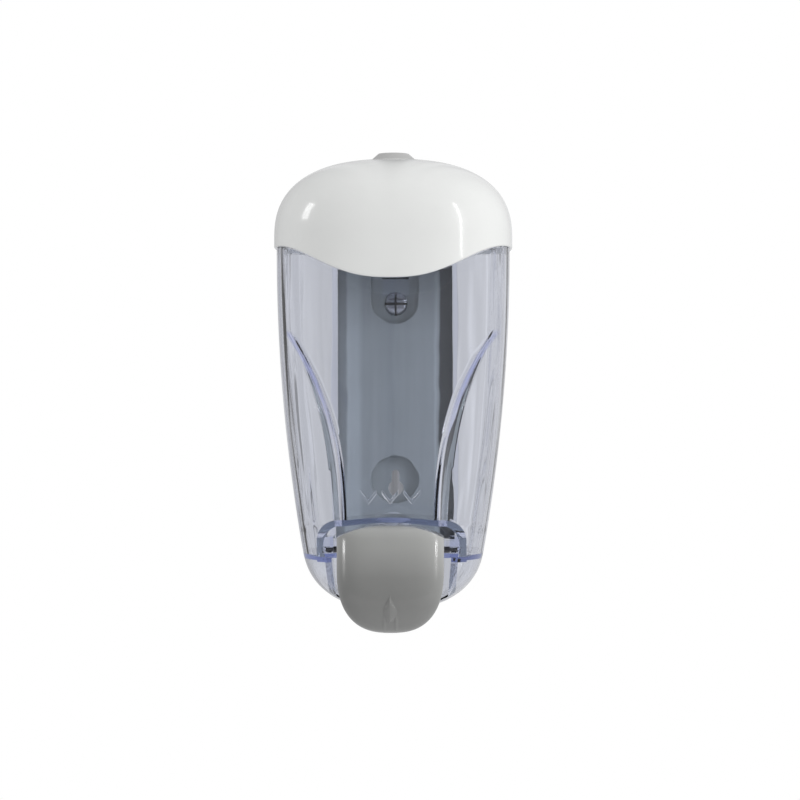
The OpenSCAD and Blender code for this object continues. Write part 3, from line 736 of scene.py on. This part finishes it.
def make_hanger():
    """Tongue that hangs the tank in the bracket's upper recess, and the root that joins it to the wall."""
    root_y = CHANNEL_Y - 0.5
    tongue_y = root_y + TONGUE_T
    inner = TONGUE_HALF - TONGUE_CORNER
    low = TONGUE_LOW + TONGUE_CORNER
    tongue = [(-TONGUE_HALF, TONGUE_TOP), (-TONGUE_HALF, low + 1.6)]
    tongue += [(-inner + TONGUE_CORNER * math.cos(a), low + TONGUE_CORNER * math.sin(a))
               for a in spread(math.pi, 1.5 * math.pi, 8)]
    tongue += [(-x, z) for x, z in reversed(tongue)]
    back_y = root_y + 2 * TONGUE_T
    root_z = TONGUE_TOP - TONGUE_ROOT_H
    root = slab("tongue_root", -TONGUE_HALF, TONGUE_HALF, root_y, back_y, root_z, TONGUE_TOP)
    return root, prism("tongue", tongue, 1, tongue_y, back_y)


def make_catch():
    low = CAM_Z + CAM_T + 0.4
    back = CHANNEL_Y - WALL
    post = slab("catch_post", -HOOK_HALF, HOOK_HALF, back, back + WALL, NECK_TOP - 1, low + HOOK_T)
    hook = slab("catch_hook", -HOOK_HALF, HOOK_HALF, back - HOOK_REACH, back + 1, low, low + HOOK_T)
    return post, hook


CHEVRON_Z = -50.6
CHEVRON_HALF = 4.0
CHEVRON_DROP = 5.0
CHEVRON_T = 2.4
CHEVRON_RAISED = 0.6
CHEVRON_ROUND = 0.5


def make_chevrons():
    """Three raised arrowheads over the lever that point down at it."""
    outline = [(-CHEVRON_HALF, 0), (0, -CHEVRON_DROP), (CHEVRON_HALF, 0), (CHEVRON_HALF, CHEVRON_T),
               (0, CHEVRON_T - CHEVRON_DROP), (-CHEVRON_HALF, CHEVRON_T)]
    marks = []
    for x in (-2.6 * CHEVRON_HALF, 0, 2.6 * CHEVRON_HALF):
        face = MID_Y - tank_front(NOSE_TOP) * rounded(x / tank_half(NOSE_TOP))
        placed = [(x + u, CHEVRON_Z + v) for u, v in outline]
        mark = prism("chevron", placed, 1, face - CHEVRON_RAISED, face + 1)
        marks.append(bevel(mark, CHEVRON_ROUND, 3, 60))
    return marks


tank = dress(make_tank(), CLEAR)
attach(tank, "base")
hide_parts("tank")


# ------------------------------------------------------------------ lid

def lid_section(z, inset):
    s = 1.0 if z < CROWN_Z else rounded((z - CROWN_Z) / CROWN_RUN)
    w = LID_W / 2 * s - inset
    f = (FRONT_REACH + 1) * s - inset
    r = REAR_REACH * s - inset
    back = max(WALL_GAP + inset, -MID_Y - r * 0.985)
    return half_section(w, f, r, back, (0.85 * w, w, f))


CROWN_SHARES = [math.sin(math.pi / 2 * t) for t in spread(0, 0.96, 40)]
LID_ROWS = 24


def make_lid():
    rings = []
    edge = 0.7
    for a in spread(math.pi / 2, 0, 5):
        section = lid_section(0, edge * (1 - math.cos(a)))
        rings.append(ring(section, lambda x, y, a=a: edge_z(x, y) + edge * (1 - math.sin(a))))
    for t in spread(0, 1, LID_ROWS)[1:]:
        rings.append(ring(lid_section(0, 0), lambda x, y, t=t: mix(edge_z(x, y) + edge, CROWN_Z, t)))
    for z in [CROWN_Z + CROWN_RUN * c for c in CROWN_SHARES[1:]]:
        rings.append(ring(lid_section(z, 0), z))
    outside = skin("lid_shell", rings)
    inner = [ring(lid_section(0, LID_WALL), 40.0)]
    inner += [ring(lid_section(CROWN_Z + CROWN_RUN * c, LID_WALL), CROWN_Z + (CROWN_RUN - LID_WALL) * c)
              for c in CROWN_SHARES]
    cut(outside, skin("lid_inner", inner))
    join(outside, rod("lock_pad", 0, MID_Y, LOCK_PAD_R, 2, LID_TOP - LOCK_PAD_T, LID_TOP + 0.05, 96))
    cut(outside, rod("lock_hole", 0, MID_Y, 6.05, 2, LID_TOP - 10, LID_TOP + 10, 96))
    gap = BRACKET_HALF + 0.9
    cut(outside, slab("notch", -gap, gap, -5, 5, 0, BRACKET_HIGH + 1.2))
    return shade(outside, 32)


lid = dress(make_lid(), WHITE)
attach(lid, "lid_cover")
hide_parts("lid")


# ------------------------------------------------------------------ push lever

def lever_share(z):
    return 1.0 if z > LEVER_MID else rounded((LEVER_MID - z) / (LEVER_MID - LEVER_FOOT))


def lever_rise(z):
    """How far the inside of the lever lies above its outside, as a share of the wall."""
    if z > LEVER_MID:
        return -min(1.0, (z - LEVER_MID) / (LEVER_TOP - LIP_R - LEVER_MID))
    return (LEVER_MID - z) / (LEVER_MID - LEVER_FOOT)


def lever_lip(z):
    into = max(0.0, (z - LEVER_TOP + LIP_R) / LIP_R)
    return LIP_R * (1 - math.sqrt(max(0.0, 1 - into ** 2)))


# Drop raised on the lever's face, with two ribs from it to the foot
DROP_TOP = -97.6
DROP_WIDE_Z = -106.2
DROP_LOW = -111.0
DROP_HALF = 3.4
DROP_H = 1.3
RIB_X = 2.8
RIB_R = 0.7
RIB_H = 0.45


def drop_half(z):
    """Half width of the drop at height z: a point at the top, round at the bottom."""
    if z >= DROP_TOP or z <= DROP_LOW:
        return 0.0
    if z > DROP_WIDE_Z:
        return DROP_HALF * smooth((DROP_TOP - z) / (DROP_TOP - DROP_WIDE_Z)) ** 1.2
    return DROP_HALF * math.sqrt(1 - ((DROP_WIDE_Z - z) / (DROP_WIDE_Z - DROP_LOW)) ** 2)


def face_relief(x, z):
    """How far the lever's face is raised at a point."""
    half = drop_half(z)
    drop = DROP_H * (1 - (x / half) ** 1.5) * min(1.0, half) if x < half else 0.0
    rib = RIB_H * math.exp(-((x - RIB_X) / RIB_R) ** 2) * smooth((DROP_WIDE_Z - 1 - z) / 3)
    return max(drop, rib)


LEVER_FINE = 5.5                   # the relief stays inside this half width
FACE_POWER = 0.7


def lever_section(z, inset):
    share = lever_share(z)
    w = LEVER_HALF * share - inset
    front = LEVER_FRONT + LEVER_LEAN * (1 - share) + lever_lip(z) + inset
    bulge = LEVER_BULGE * share
    back = max(LEVER_BACK + 10 * (1 - share), front + bulge + 1) + (30 if inset else 0)
    fine = min(LEVER_FINE, 0.6 * w)
    start = math.asin((fine / w) ** (1 / FACE_POWER))
    across = spread(0, fine, 26)
    across += [w * math.sin(a) ** FACE_POWER for a in spread(start, math.pi / 2, 40)[1:]]
    points = []
    for x in across:
        fall = math.sqrt(max(0.0, 1 - (x / w) ** (2 / FACE_POWER)))
        points.append((x, front + bulge * (1 - fall) - (0 if inset else face_relief(x, z))))
    return points + [(w, back)]


LEVER_HEIGHTS = [mix(LEVER_MID, LEVER_FOOT, math.sin(math.pi / 2 * t)) for t in spread(0.95, 0, 60)]
LEVER_HEIGHTS += spread(LEVER_MID, LEVER_TOP - LIP_R, 16)[1:]
LEVER_HEIGHTS += [LEVER_TOP - LIP_R + LIP_R * math.sin(math.pi / 2 * t) for t in spread(0, 1, 16)[1:]]


def lever_arch(inset):
    """Everything above the lever's arched top edge."""
    half = LEVER_HALF + 2
    top = LEVER_TOP - inset
    line = [(x, top - ARCH_DROP * (abs(x) / LEVER_HALF) ** 2.4) for x in spread(-half, half, 60)]
    return prism("arch", line + [(half, -40), (-half, -40)], 1, -140, 0)


def lever_skin(inset):
    rings = []
    for z in LEVER_HEIGHTS:
        rings.append(ring(lever_section(z, inset), z + inset * lever_rise(z)))
    return cut(skin("lever", rings), lever_arch(inset))


def make_lever():
    lever = bevel(lever_skin(0), 1.2, 3, 38)
    cut(lever, lever_skin(LEVER_WALL))
    for side in (-1, 1):
        mid = side * (LEVER_HALF - LEVER_WALL / 2)
        outline = [(PIVOT_Y + ARM_R * math.cos(a), PIVOT_Z + ARM_R * math.sin(a))
                   for a in spread(-math.pi / 2, math.pi / 2, 20)]
        front = LEVER_BACK - 6
        outline += [(front, PIVOT_Z + ARM_R), (front, PIVOT_Z - ARM_DROP), (front + 1, PIVOT_Z - ARM_DROP)]
        join(lever, prism("arm", outline, 0, mid - LEVER_WALL / 2, mid + LEVER_WALL / 2))
    foot, top = [PUMP_Z + z for z in PAD_SPAN]
    join(lever, slab("pad", -PAD_HALF, PAD_HALF, LEVER_FRONT + 2, PAD_Y, foot, top))
    cut(lever, rod("bore", PIVOT_Y, PIVOT_Z, PIN_R, 0, -40, 40))
    return shade(lever, 35)


lever = dress(make_lever(), LEVER_GREY)
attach(lever, "lever")
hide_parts("push_lever")


# ------------------------------------------------------------------ springs

TURN_STEPS = 26
WIRE_SIDES = 10
END_CLOSING = 0.035                # how much closer together the end turns lie


def coil(name, radius, wire, start, end, turns, axis):
    """Round-wire coil between two points on a line along Y or Z."""
    steps = TURN_STEPS * turns
    points, faces = [], []
    length = end - start - 2 * wire
    for i in range(steps + 1):
        t = i / steps
        a = 2 * math.pi * turns * t
        eased = t + END_CLOSING * math.sin(2 * math.pi * t)
        h = start + wire + length * min(1, max(0, eased))
        for j in range(WIRE_SIDES):
            b = 2 * math.pi * j / WIRE_SIDES
            r = radius - wire + wire * math.cos(b)
            u, v, w = r * math.cos(a), r * math.sin(a), h + wire * math.sin(b)
            points.append((u, w, PUMP_Z + v) if axis == 1 else (u, PORT_Y + v, w))
    for i in range(steps):
        here, there = i * WIRE_SIDES, (i + 1) * WIRE_SIDES
        for j in range(WIRE_SIDES):
            k = (j + 1) % WIRE_SIDES
            faces.append((here + j, here + k, there + k, there + j))
    faces.append(tuple(range(WIRE_SIDES)))
    faces.append(tuple(reversed(range(steps * WIRE_SIDES, (steps + 1) * WIRE_SIDES))))
    return dress(shade(outward(mesh_object(name, points, faces)), 60), SPRING_STEEL)


def add_spring(name, node, radius, wire, low, high, turns, direction):
    axis = 1 if direction[1] else 2
    spring = coil(name, radius, wire, low, high, turns, axis)
    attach(spring, "base")
    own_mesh(spring)
    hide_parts(node)


def node_span(node, axis):
    low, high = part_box(node)
    return low[axis] / MM, high[axis] / MM


low, high = node_span("return_spring", 1)
add_spring("return_coil", "return_spring", 6.4, 0.5, low, high, 6,
           (0, 1, 0))
low, high = node_span("inlet_spring", 2)
add_spring("inlet_coil", "inlet_spring", 3.0, 0.25, low, high, 4,
           (0, 0, 1))
low, high = node_span("outlet_spring", 2)
add_spring("outlet_coil", "outlet_spring", 2.1, 0.17, low, high, 4,
           (0, 0, 1))


# ------------------------------------------------------------------ CAD nodes that stay, with their finish

FINISH = {
    "wall_bracket": BRACKET_GREY, "wall_screw": SCREW_STEEL, "lock_housing": LOCK_GREY,
    "lock_nut": ZINC, "lock_plug": LOCK_GREY, "lock_cam": ZINC, "cam_screw": SCREW_STEEL,
    "lever_pins": PIN_STEEL_PAINTED_SHADE, "pump_body": ACETAL, "pump_gasket": RUBBER, "pump_nut": ACETAL,
    "inlet_strainer": STRAINER, "pump_cap": ACETAL, "piston": PISTON_BLUE, "piston_ring": RUBBER,
    "inlet_ball": BALL_STEEL, "inlet_cage": ACETAL, "outlet_ball": BALL_STEEL, "nozzle": ACETAL,
}
for node, mat in FINISH.items():
    slots = nodes[node].material_slots
    for slot in slots:
        slot.material = mat


# ------------------------------------------------------------------ studio

AIM = Vector((3.25, MID_Y, -5.7)) * MM
DISTANCE = 1.2
AZIMUTH = math.radians(1.4)
VIEW_WIDTH = 0.4                   # what the picture's width spans at the aim point


def make_camera():
    data = bpy.data.cameras.new("camera")
    data.sensor_width = 36.0
    data.lens = data.sensor_width * DISTANCE / VIEW_WIDTH
    camera = bpy.data.objects.new("camera", data)
    bpy.context.scene.collection.objects.link(camera)
    camera.location = AIM + DISTANCE * Vector((math.sin(AZIMUTH), -math.cos(AZIMUTH), 0))
    camera.rotation_euler = (AIM - camera.location).to_track_quat("-Z", "Y").to_euler()
    bpy.context.scene.camera = camera


def softbox(name, place, size, power, mirrored=True):
    """Area light aimed at the object. One that isn't mirrored leaves no glint of its own."""
    data = bpy.data.lights.new(name, "AREA")
    data.shape = "RECTANGLE"
    data.size, data.size_y = size
    data.energy = power
    light = bpy.data.objects.new(name, data)
    light.visible_glossy = mirrored
    light.visible_transmission = mirrored
    bpy.context.scene.collection.objects.link(light)
    light.location = place
    light.rotation_euler = (AIM - Vector(place)).to_track_quat("-Z", "Y").to_euler()


# Brightness of the pale room at directions from far left (-1) to far right (1), uneven behind the object
ROOM_ACROSS = [(-1, 0.78), (-0.5, 0.62), (-0.2, 0.66), (-0.13, 0.92), (-0.07, 0.72), (-0.046, 0.86),
               (-0.034, 0.3), (-0.018, 0.3), (-0.006, 0.86), (0.02, 0.74), (0.048, 1), (0.09, 0.72),
               (0.15, 0.96), (0.28, 0.78), (0.6, 0.84), (1, 0.92)]
ROOM_UP = 0.14                     # how much brighter it is straight up
ROOM_ON_MATT = 0.85                # share of the room's light that falls on matt surfaces
ROOM_FRONT = 0.42                  # share of it that is mirrored from in front of the object
ROOM_BEHIND = 0.80                 # share of it that is seen through the object
ROOM_DEPTH = (-0.7, 0.1)           # where front ends and behind starts, as the Y of a direction


def make_world():
    """A white backdrop for the camera, and a soft pale room for everything else."""
    world = bpy.data.worlds.new("studio")
    bpy.context.scene.world = world
    world.use_nodes = True
    tree = world.node_tree
    tree.nodes.clear()
    coords = tree.nodes.new("ShaderNodeTexCoord")
    parts = tree.nodes.new("ShaderNodeSeparateXYZ")
    tree.links.new(coords.outputs["Generated"], parts.inputs["Vector"])
    across = ramp_node(tree, parts.outputs["X"], ROOM_ACROSS, -1, 1)
    level = math_node(tree, "MULTIPLY_ADD", parts.outputs["Z"], ROOM_UP, across)
    depth = tree.nodes.new("ShaderNodeMapRange")
    depth.inputs["From Min"].default_value = ROOM_DEPTH[0]
    depth.inputs["From Max"].default_value = ROOM_DEPTH[1]
    depth.inputs["To Min"].default_value = ROOM_FRONT
    depth.inputs["To Max"].default_value = ROOM_BEHIND
    tree.links.new(parts.outputs["Y"], depth.inputs["Value"])
    rays = tree.nodes.new("ShaderNodeLightPath")
    dim = tree.nodes.new("ShaderNodeMapRange")
    dim.inputs["To Max"].default_value = ROOM_ON_MATT
    tree.links.new(rays.outputs["Is Diffuse Ray"], dim.inputs["Value"])
    tree.links.new(depth.outputs["Result"], dim.inputs["To Min"])
    room = tree.nodes.new("ShaderNodeBackground")
    room.inputs["Color"].default_value = (0.985, 0.985, 1.0, 1)
    tree.links.new(math_node(tree, "MULTIPLY", level, dim.outputs["Result"]), room.inputs["Strength"])
    backdrop = tree.nodes.new("ShaderNodeBackground")
    backdrop.inputs["Color"].default_value = (1, 1, 1, 1)
    choose = tree.nodes.new("ShaderNodeMixShader")
    tree.links.new(rays.outputs["Is Camera Ray"], choose.inputs["Fac"])
    tree.links.new(room.outputs["Background"], choose.inputs[1])
    tree.links.new(backdrop.outputs["Background"], choose.inputs[2])
    output = tree.nodes.new("ShaderNodeOutputWorld")
    tree.links.new(choose.outputs["Shader"], output.inputs["Surface"])


FLOOR_REACH = 3000.0
STUDIO_FLOOR_Z = -1400.0           # far enough down for the views from below


def make_floor():
    size, z = FLOOR_REACH, STUDIO_FLOOR_Z
    corners = [(-size, -size, z), (size, -size, z), (size, size, z), (-size, size, z)]
    floor = mesh_object("floor", corners, [(0, 1, 2, 3)])
    dress(floor, plastic("floor_white", (0.9, 0.9, 0.9), rough=0.7))


make_camera()
make_world()
make_floor()
softbox("key", (1.0, -0.75, 0.30), (0.5, 0.9), 4.2, mirrored=False)
softbox("strip", (0.87, -0.65, 0.47), (0.06, 0.75), 1.0)
softbox("window", (-0.98, -0.16, 0.52), (0.20, 0.40), 1.2)
softbox("glint_left", (-0.836, -0.489, -0.131), (0.18, 0.012), 0.20)
softbox("glint_right", (0.813, -0.534, -0.131), (0.18, 0.012), 0.20)
bpy.context.scene.view_settings.view_transform = "Standard"
bpy.context.scene.cycles.max_bounces = 32
bpy.context.scene.cycles.transmission_bounces = 28
bpy.context.scene.cycles.transparent_max_bounces = 32
